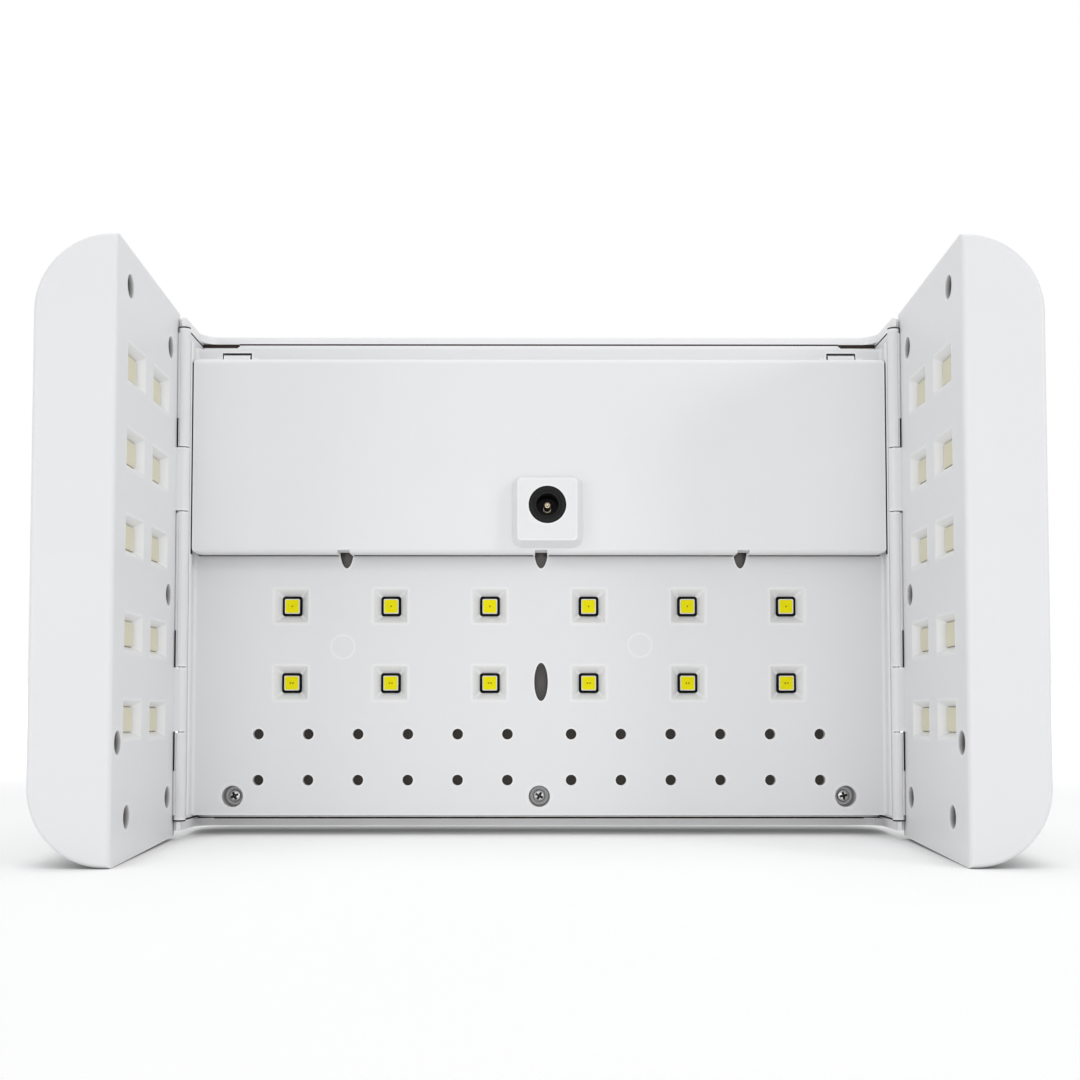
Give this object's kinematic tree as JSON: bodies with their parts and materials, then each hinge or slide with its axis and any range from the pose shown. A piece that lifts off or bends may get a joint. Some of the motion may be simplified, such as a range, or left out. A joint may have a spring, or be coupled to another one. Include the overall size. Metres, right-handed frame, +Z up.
{
  "type": "folding led nail lamp",
  "caption": "White folding LED nail lamp, opened out: a shallow centre body with a light panel and a power flap, and a light wing hinged at each short side.",
  "frame": {"origin": "bottom centre of the whole lamp as it stands opened out on its long edge: half-way in X and Y, at the wings' lowest edges in Z", "axes": "+X to the right wing when the light panel is looked at from the front, +Y from the open light side to the back with the buttons, +Z up along the hinge pins"},
  "size_m": [0.2376, 0.0982, 0.1488],
  "materials": {
    "white_plastic": "white, semi-gloss moulding",
    "panel_plastic": "white, semi-gloss moulding",
    "button_plastic": "pale grey, satin",
    "black_plastic": "black, satin",
    "smoked_window": "black, glossy",
    "sensor_black": "black",
    "led_package": "white ceramic",
    "led_phosphor": "yellow, satin",
    "emitter_resin": "cream, satin",
    "led_board": "dark solder mask",
    "control_board": "green solder mask",
    "screw_steel": "plated",
    "pin_steel": "plain",
    "contact_metal": "plated"
  },
  "bodies": {
    "body": {"centre_shell": "white_plastic", "light_panel": "panel_plastic", "centre_led_board": "led_board", "centre_led_bodies": "led_package", "centre_led_phosphors": "led_phosphor", "sensor_windows": "smoked_window", "hand_sensors": "sensor_black", "panel_screws": "screw_steel", "led_board_screws": "screw_steel", "control_board": "control_board", "control_board_screws": "screw_steel", "button_switches": "black_plastic", "display_window": "smoked_window", "display_module": "black_plastic", "left_hinge_pin": "pin_steel", "right_hinge_pin": "pin_steel", "flap_pivot_pins": "pin_steel"},
    "flap": {"flap_shell": "white_plastic", "flap_cover": "white_plastic", "flap_screws": "screw_steel", "jack_housing": "black_plastic", "jack_pin": "contact_metal"},
    "left_wing": {"left_wing_cover": "panel_plastic", "left_wing_shell": "white_plastic", "left_wing_led_board": "led_board", "left_wing_emitters": "emitter_resin", "left_wing_screws": "screw_steel"},
    "right_wing": {"right_wing_cover": "panel_plastic", "right_wing_shell": "white_plastic", "right_wing_led_board": "led_board", "right_wing_emitters": "emitter_resin", "right_wing_screws": "screw_steel"},
    "left_button": {"left_button": "button_plastic", "left_plunger": "black_plastic"},
    "middle_button": {"middle_button": "button_plastic", "middle_plunger": "black_plastic"},
    "right_button": {"right_button": "button_plastic", "right_plunger": "black_plastic"}
  },
  "joints": [
    {"name": "left_wing_hinge", "type": "hinge", "parent": "body", "child": "left_wing", "pos_m": [-0.0974, 0.0115, 0.0744], "axis": [0, 0, 1], "range_deg": [0, 90]},
    {"name": "right_wing_hinge", "type": "hinge", "parent": "body", "child": "right_wing", "pos_m": [0.0974, 0.0115, 0.0744], "axis": [0, 0, -1], "range_deg": [0, 90]},
    {"name": "flap_hinge", "type": "hinge", "parent": "body", "child": "flap", "pos_m": [0, 0.0243, 0.1357], "axis": [1, 0, 0], "range_deg": [-90, 0]},
    {"name": "left_button_travel", "type": "slide", "parent": "body", "child": "left_button", "axis": [0, -1, 0], "range_m": [0, 0.0005], "stiffness_N_per_m": 300, "springref_m": -0.002},
    {"name": "middle_button_travel", "type": "slide", "parent": "body", "child": "middle_button", "axis": [0, -1, 0], "range_m": [0, 0.0005], "stiffness_N_per_m": 300, "springref_m": -0.002},
    {"name": "right_button_travel", "type": "slide", "parent": "body", "child": "right_button", "axis": [0, -1, 0], "range_m": [0, 0.0005], "stiffness_N_per_m": 300, "springref_m": -0.002}
  ]
}
